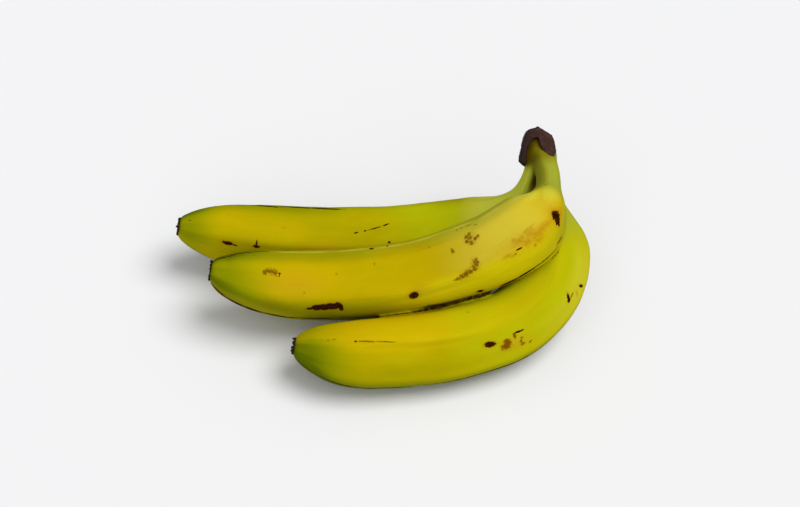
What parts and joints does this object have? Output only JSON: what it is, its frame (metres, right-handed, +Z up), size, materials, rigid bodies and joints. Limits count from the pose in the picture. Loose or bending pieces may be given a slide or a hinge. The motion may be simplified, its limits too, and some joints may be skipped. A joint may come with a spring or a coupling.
{
  "type": "plantain hand",
  "caption": "Ripening plantains on one cut crown, curved five-ridged fingers with blunt blossom ends, lying on their bellies; food and kitchen set dressing.",
  "frame": {"origin": "centre of the bounding box's base, on the surface that the hand lies on", "axes": "+X along the fingers towards the crown end, +Z up, -Y the open front of the hand"},
  "size_m": [0.246, 0.131, 0.1026],
  "materials": {
    "peel": "waxy fruit peel, yellow going green at the necks and tips, with brown bruises"
  },
  "bodies": {
    "root": {"plantain_hand": "peel"}
  },
  "joints": []
}
